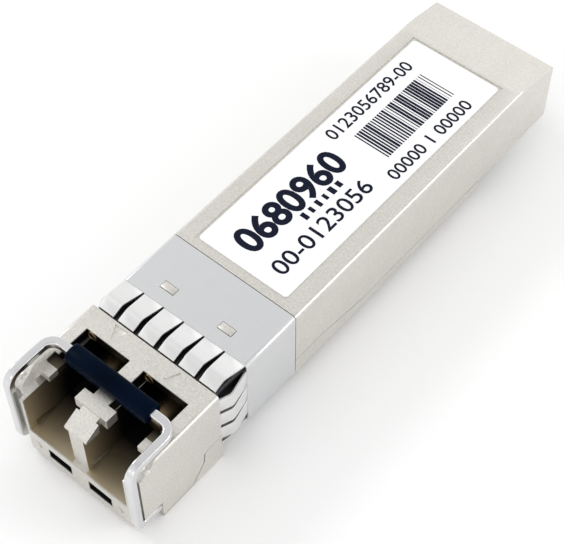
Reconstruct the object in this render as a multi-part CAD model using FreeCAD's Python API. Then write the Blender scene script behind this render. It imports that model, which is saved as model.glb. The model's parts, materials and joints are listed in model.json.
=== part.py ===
# Pluggable optical transceiver module with a duplex receptacle and a wire bail.
# Millimetres. The module lies along Y: receptacle in front (-Y), edge contacts behind.
# Everything is drawn from the front lip (y = 0) and the underside of the body (z = 0),
# and moved at the end so that the origin is below the middle of the whole module.
import FreeCAD, Part
import math
import os
from FreeCAD import Vector

os.makedirs("parts", exist_ok=True)

# ---------------------------------------------------------------- overall sizes
LENGTH = 56.5            # front lip to the rear edge of the cover
BODY_WIDTH = 13.4
BODY_HEIGHT = 8.5
NOSE_WIDTH = 13.8
NOSE_TOP = 8.55          # height of the nose above the body's underside
NOSE_DROP = 1.1          # how far the nose hangs below the body's underside
NOSE_LENGTH = 9.6        # front lip to the step that meets the cage
WALL = 0.75              # side walls of the housings
ROOF = 0.8
FLOOR = 0.65             # bottom of the lower housing
SEAM = 0.09              # open line between the housings
SKIN = 0.38              # bottom skin of the nose
EDGE_ROUND = 0.35        # rounding of the long outer edges
FIT = 0.03               # clearance between fixed pieces
GAP = 0.10               # clearance between pieces that move past each other
BITE = 0.01              # how far a cut reaches past the face that it opens

# ---------------------------------------------------------------- receptacle
PORT_PITCH = 6.25        # between the two optical axes
PORT_WIDTH = 4.65
PORT_HEIGHT = 4.6
PORT_FLOOR = 2.3
PORT_DEPTH = 9.5
PORT_FLOOR_THICK = 0.7
BULKHEAD_THICK = 1.1     # wall behind the ports, which the barrels pass through
WINDOW_WIDTH = 4.8       # openings in the nose top for the plug latches
WINDOW_FRONT = 4.4
WINDOW_BACK = 7.6
LATCH_SLOT_OUTER = 4.8   # the plug latch slides in between the tee and this ledge edge
LEDGE_FRONT = 2.5
LEDGE_TOP = 8.1
LEDGE_BOTTOM = 7.4
LEDGE_OUTER = 5.95
LEDGE_WIDTH = 1.0
LATCH_ROOM_LEAD = 0.6    # how far the latch room starts before the ledge
LATCH_ROOM_BACK = 9.1
TEE_HALF_WIDTH = 1.72
TEE_FRONT = 2.35
TEE_BACK = 3.5
HEAD_HALF_WIDTH = 1.2    # broad lead-in head of the divider, in front of the tee
HEAD_LOW = 7.2
HEAD_HIGH = 8.2
HEAD_NECK = 0.4          # narrow length between the head and the tee
STEM_SKIN = 0.1          # extra thickness of the divider at that neck
PILLAR_FRONT = 0.45
WALL_FRONT = 0.42        # side walls stand back from the lip for the bail legs
LEAD_IN_LOW = 7.5
FUNNEL = (0.15, 0.2)     # foot of the sloping side face, out from the ledge and up
LIP_BOTTOM = -0.7
LIP_THICK = 0.6
LIP_HALF_WIDTH = 5.75
POST_HALF_WIDTH = 5.8
POST_THICK = 1.0
LIP_SLOT = (0.96, 3.56, 0.1, 1.4)   # inner x, outer x, bottom z, top z
WEDGE_DEPTH = 0.3        # relief at the foot of the port walls
WEDGE_BACK = 3.3
WEDGE_HEIGHT = 1.5
WEDGE_SKIN = 0.35        # wall left standing before the relief
MARK_SIZE = 1.4          # engraved direction arrows
MARK_DEPTH = 0.1
MARK_FRONT = 8.05
MARK_SHAPE = 0.93        # length of an arrow over its width
MARK_SHIFT = 0.2
LIP_MARK_SIZE = 0.9
LIP_MARK_X = 4.6
NUB_RADIUS = 0.45        # cast nub on each side of the nose, beside the bail
NUB_CENTRE = (1.5, 7.7)  # y, z
NUB_INSET = 0.3

# ---------------------------------------------------------------- neck and collar
COLLAR_BACK = 19.25
SHEET = 0.2              # collar sheet thickness
FINGER_ROOT = 13.1
FINGER_RIDGE = 10.9
FINGER_TIP = 9.75
FINGER_RISE = 0.5
FINGER_COUNT_TOP = 6
FINGER_PITCH = 2.2
SIDE_FINGER_LOW = 1.4
SIDE_FINGER_PITCH = 2.15
SIDE_FINGER_COUNT = 3
BOTTOM_FINGER_COUNT = 2  # on each side of the latch
SLIT_ROOT = 0.16
SLIT_TIP = 0.5
TIP_RISE = 0.05          # how far a finger's tip stands off the face
COLLAR_CLEAR = 0.06      # between the collar and the cover behind it
LATCH_GAP_HALF = 1.8     # half the collar's opening round the latch
CATCH = (1.5, 0.8)       # catches of the cover that show through the collar
CATCH_X = 3.15
CATCH_FRONT = 14.4
CATCH_CLEAR = 0.05
CATCH_PROUD = 0.02

# ---------------------------------------------------------------- cover and label
LABEL_WIDTH = 9.65
LABEL_FRONT = 20.2
LABEL_LENGTH = 30.1
LABEL_THICK = 0.1
LABEL_MARGIN = 0.25
LABEL_SINK = 0.02        # how far the label lies below the cover's face
REAR_SLOPE_START = 50.8
REAR_DROP = 0.95
REAR_BLOCK_FRONT = 47.0
REAR_MOUTH_TOP = 5.6
PARTING_FRONT = 2.0
PARTING_REAR = 1.1
PARTING_STEP = (22.8, 28.5)
NECK_PARTING = 2.43
LOWER_END = 46.0
END_WALL = 0.8           # end of the lower housing, under the board
NECK_WALL = 0.8          # from the collar's seat to the hollow of the cover
NOSE_WEB = 0.5           # wall between the nose and the neck
LOWER_ROUND = 0.3
APRON_FRONT = 0.9
APRON_CLEAR = 0.02
RIB_FRONTS = (30.0, 41.0)
RIB_LENGTH = 2.0
RAIL_FRONT = COLLAR_BACK + 1.2
RAIL_CLEAR = 0.04

# ---------------------------------------------------------------- bail and latch
WIRE = 0.76              # thickness of the bail wire
WIRE_ROUND = 0.16
BAIL_HALF = 6.55         # middle of the bail to the middle of its leg
BAR_Y, BAR_Z = 4.85, 9.45
LEG_Y = -0.1
BEND = 1.15
FOOT_BEND = 0.6
PIVOT_Y, PIVOT_Z = 1.95, 0.85
PIVOT_SEAT_CLEAR = 0.04  # between the pivot and the posts that keep it in
CRANK = 0.4              # offset of the bail's inner ends from its pivot
CRANK_IN, CRANK_OUT = 3.4, 4.65
EAR_IN = 4.75            # inner face of the ears that carry bail and latch pin
EAR_REACH = 1.0          # how far the ears go back from the bail's pivot
SLEEVE_LENGTH = 8.8
SLEEVE_THICK = 1.75
SLEEVE_HEIGHT = 1.56
SLEEVE_ROUND = 0.35      # edge radius over the height
SLEEVE_CLEAR = 0.01
ROCKER_Y, ROCKER_Z = 6.6, 0.55
ROCKER_PIN = 0.8
ROCKER_BARREL = 1.7
PIN_SEAT = 0.55          # length of the pin in each ear
PIN_END_CLEAR = 0.05
PIN_CLEAR = 0.01
LEVER_THICK = 0.45
LEVER_FRONT = 1.25
LEVER_BAR_BACK = 0.4     # how far the front bar goes back from the bail's pivot
LEVER_SIDE_CLEAR = 0.15
WEB_CLEAR = 0.2
ARM_CLEAR = 0.08         # between the arm and the neck's floor
ARM_INSET = 0.05         # how much narrower than the boss the arm is on each side
ARM_PAST = 2.1           # how far the arm goes back from the shoulder
SHOULDER_Y = 11.5        # locking face of the latch boss
BOSS_WIDTH = 2.6
BOSS_DROP = 0.45
BOSS_FLAT = 0.8
BOSS_ROOT = 0.1          # how deep the boss is rooted in the arm
BOSS_WINDOW_HALF = 1.7
BOSS_WINDOW_LEAD = 0.4
LATCH_BAY_BACK = 13.9
SPRING_Y = 9.0
SPRING_RADIUS = 0.6
SPRING_WIRE = 0.16
SPRING_TURNS = 2.5
SPRING_SIDES = 8
SPRING_CLEAR = 0.01

# ---------------------------------------------------------------- circuit board
BOARD_THICK = 1.0
BOARD_UNDER = 2.25
BOARD_FRONT = 20.2
BOARD_END = 53.3
BOARD_WIDTH = BODY_WIDTH - 2 * (WALL + GAP)
TONGUE_WIDTH = 9.2
CONTACT_COUNT = 10
CONTACT_PITCH = 0.8
CONTACT = (0.55, 2.2, 0.04)
RAIL_WIDTH = 0.75
CONTACT_INSET = 0.2
CHIP_THICK = 1.1
PAD_THICK = 0.6
AMPLIFIER_THICK = 0.9
CONTROLLER_THICK = 1.0
DRIVER_PLACE = (-4.6, -1.2, 24.6, 28.0)      # plans of the chips: x0, x1, y0, y1
AMPLIFIER_PLACE = (1.3, 4.3, 24.8, 27.8)
CONTROLLER_PLACE = (-2.4, 2.4, 33.5, 38.3)
CAPACITOR = (0.6, 1.1, 0.55)
CAPACITOR_ROWS = ((7, 1.25, 31.2), (5, 1.8, 40.6))   # count, pitch and y of each row
CAPACITOR_PAIRS = ((4.0, -4.6), (34.0, 36.0))        # x and y of those by the controller

# ---------------------------------------------------------------- optics
FERRULE = 1.25           # diameter of the plug's ferrule
FERRULE_CLEAR = 0.002
SLEEVE_WALL = 0.38
SNOUT_FRONT = 6.2
SNOUT_RADIUS = 1.45
SNOUT_LIP = 0.2          # end wall of the snout that keeps the sleeve in
LIGHT_PATH_RADIUS = 0.3
PLATE_CLEAR = 0.1        # under the gasket and the clamp
GASKET = 0.4
FLANGE_RADIUS = 2.25
FLANGE_THICK = 1.0
CLAMP_THICK = 0.85
BARREL_RADIUS = 1.95
BARREL_BACK = 13.6
CAP_RADIUS = 2.3
CAP_WALL = 0.2
APERTURE_RADIUS = 0.8
CAN_WINDOW_RADIUS = 1.3
CAN_WINDOW_THICK = 0.3
CAN_DEPTH = {"transmitter": 2.6, "receiver": 2.0}
POST_HEIGHT = {"transmitter": 1.4, "receiver": 0.5}
POST_SECTION = (0.6, -0.7, 0.1)      # half width, bottom and top from the axis
HEADER_RADIUS = 2.55
HEADER_THICK = 0.8
LEAD_RADIUS = 0.18
LEAD_LENGTH = 1.1
LEAD_CIRCLE = 0.9
LEAD_CLEAR = 0.005
FLEX = 0.12
FLEX_WIDTH = 3.0
FLEX_BEND = 0.5
FLEX_TAIL = 2.4          # how far the ribbon lies on the board
FLEX_RISE = 1.4          # from the axis to the ribbon's upper end

# ---------------------------------------------------------------- worked out
HALF_BODY = BODY_WIDTH / 2
HALF_NOSE = NOSE_WIDTH / 2
HALF_NECK = HALF_BODY - SHEET - FIT
NECK_TOP = BODY_HEIGHT - SHEET - FIT
NECK_BOTTOM = SHEET + FIT
HALF_PITCH = PORT_PITCH / 2
PORT_IN = HALF_PITCH - PORT_WIDTH / 2
PORT_OUT = HALF_PITCH + PORT_WIDTH / 2
PORT_TOP = PORT_FLOOR + PORT_HEIGHT
AXIS_Z = PORT_FLOOR + PORT_HEIGHT / 2
BAY_TOP = PORT_FLOOR - PORT_FLOOR_THICK
BAY_BOTTOM = -NOSE_DROP + SKIN
BULKHEAD_BACK = PORT_DEPTH + BULKHEAD_THICK
GASKET_BACK = BULKHEAD_BACK + GASKET
FLANGE_BACK = GASKET_BACK + FLANGE_THICK
BOARD_TOP = BOARD_UNDER + BOARD_THICK
R_WIRE = WIRE / 2
EAR_BACK = PIVOT_Y + EAR_REACH
BEFORE = -1.0            # clear of the lip, in front
ABOVE = NOSE_TOP + 1     # clear of the nose, above
FAR = 100.0


# ---------------------------------------------------------------- helpers
def block(x0, x1, y0, y1, z0, z1):
    return Part.makeBox(x1 - x0, y1 - y0, z1 - z0, Vector(x0, y0, z0))


def both_sides(shape):
    """The shape and its mirror image across the module's middle plane."""
    return [shape, shape.mirror(Vector(0, 0, 0), Vector(1, 0, 0))]


def round_bar(half, y0, y1, z0, z1, radius=EDGE_ROUND, top_only=False):
    """A block along Y whose long edges are rounded."""
    bar = block(-half, half, y0, y1, z0, z1)
    edges = []
    for edge in bar.Edges:
        first, last = edge.Vertexes[0].Point, edge.Vertexes[-1].Point
        along_y = abs(first.x - last.x) < 1e-6 and abs(first.z - last.z) < 1e-6
        if along_y and (not top_only or first.z > (z0 + z1) / 2):
            edges.append(edge)
    return bar.makeFillet(radius, edges)


def prism_yz(points, x0, x1):
    corners = [Vector(x0, y, z) for y, z in points]
    face = Part.Face(Part.makePolygon(corners + corners[:1]))
    return face.extrude(Vector(x1 - x0, 0, 0))


def prism_xz(points, y0, y1):
    corners = [Vector(x, y0, z) for x, z in points]
    face = Part.Face(Part.makePolygon(corners + corners[:1]))
    return face.extrude(Vector(0, y1 - y0, 0))


def prism_xy(points, z0, z1):
    corners = [Vector(x, y, z0) for x, y in points]
    face = Part.Face(Part.makePolygon(corners + corners[:1]))
    return face.extrude(Vector(0, 0, z1 - z0))


def rod_x(y, z, radius, x0, x1):
    return Part.makeCylinder(radius, x1 - x0, Vector(x0, y, z), Vector(1, 0, 0))


def rod_y(x, z, radius, y0, y1):
    return Part.makeCylinder(radius, y1 - y0, Vector(x, y0, z), Vector(0, 1, 0))


def joined(first, others):
    return first.fuse(list(others)).removeSplitter()


# The whole model is drawn from the lip; this puts the origin below its middle.
FRONT_MOST = LEG_Y - R_WIRE
ORIGIN = Vector(0, (FRONT_MOST + LENGTH) / 2, -NOSE_DROP)


def save(name, shape):
    solids = shape.Solids if hasattr(shape, "Solids") else shape
    placed = Part.makeCompound(solids) if len(solids) > 1 else solids[0]
    placed = placed.copy()
    placed.translate(Vector(0, -ORIGIN.y, -ORIGIN.z))
    if not placed.isValid():
        print("not valid:", name)
    box = placed.BoundBox
    print("%-26s %d solid(s)  x %.2f..%.2f  y %.2f..%.2f  z %.2f..%.2f" % (
        name, len(solids), box.XMin, box.XMax, box.YMin, box.YMax, box.ZMin, box.ZMax))
    placed.exportStep("parts/%s.step" % name)


# ---------------------------------------------------------------- parting line
def parting_points():
    """The line between the housings on the module's side, from front to back."""
    return [
        (-2.0, -NOSE_DROP + SKIN),
        (5.9, -NOSE_DROP + SKIN + 0.05),
        (7.35, 1.15),
        (7.5, NECK_PARTING - 0.1),
        (NOSE_LENGTH, NECK_PARTING),
        (COLLAR_BACK, NECK_PARTING),
        (COLLAR_BACK, PARTING_FRONT),
        (PARTING_STEP[0], PARTING_FRONT),
        (PARTING_STEP[1], PARTING_REAR),
        (LENGTH + 1, PARTING_REAR),
    ]


def below_parting(shift, x0, x1):
    """Everything under the parting line, drawn back from it by shift."""
    line = []
    for y, z in parting_points():
        back = shift if y < NOSE_LENGTH else -shift
        line.append((y + back, z - shift))
    first, last = line[0], line[-1]
    return prism_yz(line + [(last[0], -FAR), (first[0], -FAR)], x0, x1)


# ---------------------------------------------------------------- upper housing
def upper_outside():
    """Outer form of the upper housing, before the ports and the seam are cut."""
    nose = round_bar(HALF_NOSE, WALL_FRONT, NOSE_LENGTH, -NOSE_DROP, NOSE_TOP)
    lip = block(-LIP_HALF_WIDTH, LIP_HALF_WIDTH, 0, EAR_BACK, LIP_BOTTOM, PORT_FLOOR)
    neck = round_bar(HALF_NECK, NOSE_LENGTH - 1, COLLAR_BACK + 1, 0, NECK_TOP, top_only=True)
    body = round_bar(HALF_BODY, COLLAR_BACK, LENGTH, 0, BODY_HEIGHT, top_only=True)
    posts = both_sides(block(PORT_OUT, POST_HALF_WIDTH, 0, POST_THICK, LIP_BOTTOM, PORT_TOP))
    return joined(nose, [lip, neck, body] + posts)


def port_cuts():
    """The two plug cavities with their latch windows, for one side of the divider."""
    window_in = HALF_PITCH - WINDOW_WIDTH / 2
    window_out = HALF_PITCH + WINDOW_WIDTH / 2
    cavity = block(PORT_IN, PORT_OUT, BEFORE, PORT_DEPTH, PORT_FLOOR, PORT_TOP)
    latch_room = block(window_in, LEDGE_OUTER, LEDGE_FRONT - LATCH_ROOM_LEAD, LATCH_ROOM_BACK,
                       PORT_TOP - BITE, LEDGE_BOTTOM)
    window = block(window_in, window_out, WINDOW_FRONT, WINDOW_BACK, PORT_TOP - BITE, ABOVE)
    slot = block(TEE_HALF_WIDTH, LATCH_SLOT_OUTER, BEFORE, WINDOW_FRONT + BITE,
                 PORT_TOP - BITE, ABOVE)
    behind_tee = block(PORT_IN, LATCH_SLOT_OUTER, TEE_BACK, WINDOW_FRONT + BITE,
                       PORT_TOP - BITE, ABOVE)
    beside_head = block(HEAD_HALF_WIDTH, PORT_OUT, BEFORE, TEE_FRONT, PORT_TOP - BITE, ABOVE)
    neck_of_tee = block(PORT_IN + STEM_SKIN, PORT_OUT, TEE_FRONT - HEAD_NECK, TEE_FRONT,
                        PORT_TOP - BITE, ABOVE)
    above_ledge = block(PORT_OUT - LEDGE_WIDTH, LEDGE_OUTER, LEDGE_FRONT - LEDGE_WIDTH, WINDOW_FRONT + BITE,
                        LEDGE_TOP, ABOVE)
    before_ledge = block(PORT_OUT - LEDGE_WIDTH, PORT_OUT, BEFORE, LEDGE_FRONT, PORT_TOP - BITE, ABOVE)
    relief = prism_yz([(BEFORE, PORT_FLOOR), (WEDGE_BACK, PORT_FLOOR), (BEFORE, PORT_FLOOR + WEDGE_HEIGHT)],
                      PORT_IN - WEDGE_DEPTH, PORT_OUT + WEDGE_DEPTH)
    relief = relief.cut(block(-FAR, FAR, -FAR, WALL_FRONT + WEDGE_SKIN, -FAR, FAR))
    funnel = prism_xz([(PORT_OUT - BITE, PORT_TOP), (PORT_OUT - BITE, ABOVE),
                       (HALF_NOSE - EDGE_ROUND, ABOVE),
                       (LEDGE_OUTER + FUNNEL[0], LEAD_IN_LOW + FUNNEL[1])],
                      BEFORE, LEDGE_FRONT)
    return [cavity, latch_room, window, slot, behind_tee, beside_head, neck_of_tee,
            above_ledge, before_ledge, relief, funnel]


def lead_in_cuts():
    """Sloping tops of the side walls and of the divider's head, towards the front."""
    walls = prism_yz([(BEFORE, LEAD_IN_LOW), (WALL_FRONT, LEAD_IN_LOW), (LEDGE_FRONT, NOSE_TOP),
                      (LEDGE_FRONT, ABOVE), (BEFORE, ABOVE)], PORT_OUT, HALF_NOSE + 1)
    head = prism_yz([(BEFORE, HEAD_LOW), (PILLAR_FRONT, HEAD_LOW), (TEE_FRONT, HEAD_HIGH),
                     (TEE_FRONT, ABOVE), (BEFORE, ABOVE)], -TEE_HALF_WIDTH - 1, TEE_HALF_WIDTH + 1)
    before_pillar = block(-PORT_IN - 1, PORT_IN + 1, BEFORE, PILLAR_FRONT, PORT_FLOOR, ABOVE)
    return both_sides(walls) + [head, before_pillar]


def latch_bay():
    """Room under the port floor for the latch lever and the bail's inner ends."""
    bay = block(-EAR_IN, EAR_IN, LIP_THICK, NOSE_LENGTH, -FAR, BAY_TOP)
    inner, outer, low, top = LIP_SLOT
    slots = both_sides(block(inner, outer, BEFORE, LIP_THICK + BITE, low, top))
    return [bay] + slots


def bail_clearance():
    """Open corners where the bail's feet lie, and the ears' slots for its pivots."""
    reach = PIVOT_Y + R_WIRE + GAP
    corner = block(LIP_HALF_WIDTH, HALF_NOSE + 1, BEFORE, reach, -FAR, PIVOT_Z + R_WIRE + GAP + FIT)
    slot = block(EAR_IN - BITE, LIP_HALF_WIDTH + BITE, PIVOT_Y - R_WIRE - FIT,
                 PIVOT_Y + R_WIRE + FIT, -FAR, PIVOT_Z)
    seat = rod_x(PIVOT_Y, PIVOT_Z, R_WIRE + FIT, EAR_IN - BITE, LIP_HALF_WIDTH + BITE)
    return both_sides(corner) + both_sides(slot) + both_sides(seat)


def arrow(x, front, size, towards_front):
    """A triangle on the nose top that shows which way the light travels."""
    back = front + size * MARK_SHAPE
    tip, base = (front, back) if towards_front else (back, front)
    points = [(x, tip), (x - size / 2, base), (x + size / 2, base)]
    return prism_xy(points, NOSE_TOP - MARK_DEPTH, ABOVE)


def lip_arrow(x, size=LIP_MARK_SIZE):
    z = (LIP_SLOT[2] + LIP_SLOT[3]) / 2
    points = [(x - size / 2, z + size / 2), (x + size / 2, z + size / 2), (x, z - size / 2)]
    return prism_xz(points, BEFORE, MARK_DEPTH)


def inside_upper():
    """The hollow of the neck and of the cover, with the bulkhead's holes."""
    neck_room = block(-HALF_NECK + WALL, HALF_NECK - WALL, BULKHEAD_BACK,
                      COLLAR_BACK + NECK_WALL + BITE, -FAR, NECK_TOP - ROOF)
    body_room = block(-HALF_BODY + WALL, HALF_BODY - WALL, COLLAR_BACK + NECK_WALL,
                      REAR_BLOCK_FRONT, -FAR, BODY_HEIGHT - ROOF - LABEL_THICK)
    mouth = block(-HALF_BODY + WALL, HALF_BODY - WALL, REAR_BLOCK_FRONT - BITE, LENGTH + 1,
                  -FAR, REAR_MOUTH_TOP)
    holes = both_sides(rod_y(HALF_PITCH, AXIS_Z, SNOUT_RADIUS + FIT, PORT_DEPTH - 1,
                             BULKHEAD_BACK + BITE))
    below_bulkhead = block(-HALF_NECK + WALL, HALF_NECK - WALL, NOSE_LENGTH, BULKHEAD_BACK + BITE,
                           -FAR, BAY_TOP)
    return [neck_room, body_room, mouth, below_bulkhead] + holes


def cover_cuts():
    """Label recess and the sloping rear end."""
    recess = block(-LABEL_WIDTH / 2 - LABEL_MARGIN, LABEL_WIDTH / 2 + LABEL_MARGIN,
                   LABEL_FRONT - LABEL_MARGIN, LABEL_FRONT + LABEL_LENGTH + LABEL_MARGIN,
                   BODY_HEIGHT - LABEL_THICK, FAR)
    slope = prism_yz([(REAR_SLOPE_START, BODY_HEIGHT), (LENGTH + BITE, BODY_HEIGHT - REAR_DROP),
                      (LENGTH + BITE, FAR), (REAR_SLOPE_START, FAR)], -FAR, FAR)
    return [recess, slope]


def hold_down_ribs():
    """Ribs of the cover that press the board down, and the block over the driver chip."""
    top = BODY_HEIGHT - ROOF - LABEL_THICK + BITE
    ribs = []
    for y in RIB_FRONTS:
        rib = block(HALF_BODY - WALL - RAIL_WIDTH, HALF_BODY - WALL + BITE, y, y + RIB_LENGTH,
                    BOARD_TOP + FIT, top)
        ribs += both_sides(rib)
    x0, x1, y0, y1 = DRIVER_PLACE
    spreader = block(x0, x1, y0, y1, BOARD_TOP + CHIP_THICK + PAD_THICK + FIT, top)
    return ribs + [spreader]


def pin_holes():
    """Blind holes in both ears for the ends of the latch pin."""
    return both_sides(rod_x(ROCKER_Y, ROCKER_Z, ROCKER_PIN / 2 + PIN_CLEAR, EAR_IN - BITE,
                            EAR_IN + PIN_SEAT + PIN_END_CLEAR))


def upper_housing():
    shape = upper_outside()
    ports = []
    for cut in port_cuts():
        ports += both_sides(cut)
    shape = shape.cut(ports)
    shape = shape.cut(lead_in_cuts())
    shape = shape.cut(latch_bay() + inside_upper())
    skins = both_sides(below_parting(0, EAR_IN, FAR))
    middle = block(-EAR_IN, EAR_IN, BULKHEAD_BACK, FAR, -FAR, PARTING_REAR)
    shape = shape.cut(skins + [middle])
    ears = both_sides(block(EAR_IN, LIP_HALF_WIDTH, 0, EAR_BACK, LIP_BOTTOM, PORT_FLOOR))
    shape = joined(shape, ears)
    shape = shape.cut(bail_clearance())
    shape = shape.cut(cover_cuts())
    shape = joined(shape, hold_down_ribs())
    shape = shape.cut(pin_holes())
    marks = [arrow(-HALF_PITCH - MARK_SHIFT, MARK_FRONT, MARK_SIZE, True),
             arrow(HALF_PITCH, MARK_FRONT, MARK_SIZE, False),
             lip_arrow(-LIP_MARK_X), lip_arrow(LIP_MARK_X)]
    shape = shape.cut(marks)
    half = CATCH[0] / 2 - CATCH_CLEAR
    catches = both_sides(block(CATCH_X - half, CATCH_X + half, CATCH_FRONT + CATCH_CLEAR,
                               CATCH_FRONT + CATCH[1] - CATCH_CLEAR, NECK_TOP - SHEET,
                               BODY_HEIGHT + CATCH_PROUD))
    nubs = [Part.makeSphere(NUB_RADIUS, Vector(side * (HALF_NOSE - NUB_INSET), *NUB_CENTRE))
            for side in (-1, 1)]
    return joined(shape, catches + nubs)


# ---------------------------------------------------------------- lower housing
def lower_housing():
    nose = round_bar(HALF_NOSE, PIVOT_Y + R_WIRE + GAP - FIT, NOSE_LENGTH, -NOSE_DROP,
                     NOSE_TOP, radius=LOWER_ROUND)
    nose = nose.cut(block(-EAR_IN - SEAM, EAR_IN + SEAM, BEFORE, NOSE_LENGTH - NOSE_WEB,
                          BAY_BOTTOM, FAR))
    apron = block(-LIP_HALF_WIDTH, LIP_HALF_WIDTH, APRON_FRONT, EAR_BACK, -NOSE_DROP,
                  LIP_BOTTOM - APRON_CLEAR)
    neck = round_bar(HALF_NECK, NOSE_LENGTH - NOSE_WEB, COLLAR_BACK + NOSE_WEB, NECK_BOTTOM,
                     NOSE_TOP)
    neck = neck.cut(block(-HALF_NECK + WALL, HALF_NECK - WALL, NOSE_LENGTH - NOSE_WEB - GAP, FAR,
                          NECK_BOTTOM + FLOOR, FAR))
    body = block(-HALF_BODY, HALF_BODY, COLLAR_BACK, LOWER_END, 0, NECK_PARTING)
    body = body.cut(block(-HALF_BODY + WALL, HALF_BODY - WALL, COLLAR_BACK - 1,
                          LOWER_END - END_WALL, FLOOR, FAR))
    shape = joined(nose, [apron, neck, body])
    keep = below_parting(SEAM, -FAR, FAR)
    shape = shape.common(keep)
    step = block(-EAR_IN, EAR_IN, NOSE_LENGTH - NOSE_WEB - GAP / 2, NOSE_LENGTH,
                 BAY_TOP - GAP, FAR)
    bay = block(-BOSS_WINDOW_HALF, BOSS_WINDOW_HALF, NOSE_LENGTH - 1, LATCH_BAY_BACK, GAP, FAR)
    boss_window = block(-BOSS_WINDOW_HALF, BOSS_WINDOW_HALF, SHOULDER_Y - BOSS_WINDOW_LEAD,
                        LATCH_BAY_BACK, -FAR, FAR)
    web_room = block(-EAR_IN - SEAM, EAR_IN + SEAM, BEFORE, BULKHEAD_BACK + GAP, BAY_TOP - GAP,
                     FAR)
    shape = shape.cut([step, bay, boss_window, web_room])
    rails = both_sides(block(HALF_BODY - WALL - RAIL_WIDTH, HALF_BODY - WALL - RAIL_CLEAR,
                             RAIL_FRONT, LOWER_END, FLOOR - GAP, BOARD_UNDER))
    end_wall = block(-HALF_BODY + WALL, HALF_BODY - WALL, LOWER_END - END_WALL, LOWER_END, 0,
                     BOARD_UNDER)
    posts = both_sides(block(EAR_IN + GAP, LIP_HALF_WIDTH - GAP, PIVOT_Y - R_WIRE + GAP / 2,
                             PIVOT_Y + R_WIRE - GAP / 2, -NOSE_DROP,
                             PIVOT_Z - R_WIRE - PIVOT_SEAT_CLEAR))
    shape = joined(shape, rails + [end_wall] + posts)
    return shape.cut(pin_holes())


# ---------------------------------------------------------------- collar
def finger_profile(root_level, outward):
    """Section of one finger: y against its height off the collar's outer face."""
    line = [(FINGER_ROOT, 0.0), (FINGER_RIDGE, FINGER_RISE), (FINGER_TIP, TIP_RISE)]
    outer = [(y, root_level + outward * rise) for y, rise in line]
    inner = [(y, root_level + outward * (rise - SHEET)) for y, rise in reversed(line)]
    return outer + inner


def slit(position):
    """Plan of the wedge-shaped slit beside a finger: (across, y) points."""
    right = [(SLIT_ROOT / 2, FINGER_ROOT + BITE), (SLIT_TIP / 2, FINGER_RIDGE),
             (SLIT_TIP / 2, FINGER_TIP - 1)]
    left = [(-across, y) for across, y in reversed(right)]
    return [(position + across, y) for across, y in right + left]


def finger_edges(first, pitch, count):
    return [first + i * pitch for i in range(count + 1)]


def top_fingers():
    edges = finger_edges(-FINGER_COUNT_TOP * FINGER_PITCH / 2, FINGER_PITCH, FINGER_COUNT_TOP)
    strip = prism_yz(finger_profile(BODY_HEIGHT, 1), edges[0], edges[-1])
    return strip.cut([prism_xy(slit(x), -FAR, FAR) for x in edges])


def bottom_fingers():
    first = FINGER_COUNT_TOP * FINGER_PITCH / 2 - BOTTOM_FINGER_COUNT * FINGER_PITCH
    edges = finger_edges(first, FINGER_PITCH, BOTTOM_FINGER_COUNT)
    strip = prism_yz(finger_profile(0, -1), edges[0], edges[-1])
    return both_sides(strip.cut([prism_xy(slit(x), -FAR, FAR) for x in edges]))


def side_fingers():
    edges = finger_edges(SIDE_FINGER_LOW, SIDE_FINGER_PITCH, SIDE_FINGER_COUNT)
    points = finger_profile(HALF_BODY, 1)
    strip = prism_xy([(x, y) for y, x in points], edges[0], edges[-1])
    cuts = []
    for z in edges:
        cuts.append(prism_yz([(y, across) for across, y in slit(z)], 0, FAR))
    return both_sides(strip.cut(cuts))


def collar():
    band = round_bar(HALF_BODY, FINGER_ROOT, COLLAR_BACK - COLLAR_CLEAR, 0, BODY_HEIGHT)
    hollow = round_bar(HALF_BODY - SHEET, FINGER_ROOT - 1, COLLAR_BACK + 1, SHEET,
                       BODY_HEIGHT - SHEET, radius=EDGE_ROUND - SHEET / 2)
    band = band.cut(hollow)
    pieces = [top_fingers()] + bottom_fingers() + side_fingers()
    shape = joined(band, pieces)
    windows = [block(x - CATCH[0] / 2, x + CATCH[0] / 2, CATCH_FRONT, CATCH_FRONT + CATCH[1],
                     BODY_HEIGHT - 1, FAR) for x in (-CATCH_X, CATCH_X)]
    latch_gap = block(-LATCH_GAP_HALF, LATCH_GAP_HALF, 0, LATCH_BAY_BACK, -FAR, 1)
    return shape.cut(windows + [latch_gap])


# ---------------------------------------------------------------- bail
def wire_run(start, end):
    """A straight length of the rounded square wire between two points on one axis."""
    low = [min(a, b) - R_WIRE * (abs(a - b) < 1e-9) for a, b in zip(start, end)]
    high = [max(a, b) + R_WIRE * (abs(a - b) < 1e-9) for a, b in zip(start, end)]
    run = block(low[0], high[0], low[1], high[1], low[2], high[2])
    along = [i for i in range(3) if abs(start[i] - end[i]) > 1e-9][0]
    edges = []
    for edge in run.Edges:
        a, b = edge.Vertexes[0].Point, edge.Vertexes[-1].Point
        if abs(a[along] - b[along]) > 1e-6:
            edges.append(edge)
    return run.makeFillet(WIRE_ROUND, edges)


def wire_bend(corner, towards_a, towards_b, radius):
    """A quarter bend of the wire that joins the runs along two axes at a corner."""
    a, b, corner = Vector(*towards_a), Vector(*towards_b), Vector(*corner)
    centre = corner + (a + b) * radius
    side = a.cross(b)
    start = corner + a * radius
    u, v = b * R_WIRE, side * R_WIRE
    square = [start + u + v, start - u + v, start - u - v, start + u - v]
    face = Part.Face(Part.makePolygon(square + square[:1]))
    bend = face.revolve(centre, side, 90)
    if bend.common(Part.makeSphere(0.05, corner + b * radius)).Volume < 1e-9:
        bend = face.revolve(centre, side, -90)
    edges = [e for e in bend.Edges if e.Curve.TypeId == "Part::GeomCircle"]
    return bend.makeFillet(WIRE_ROUND, edges)


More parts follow.
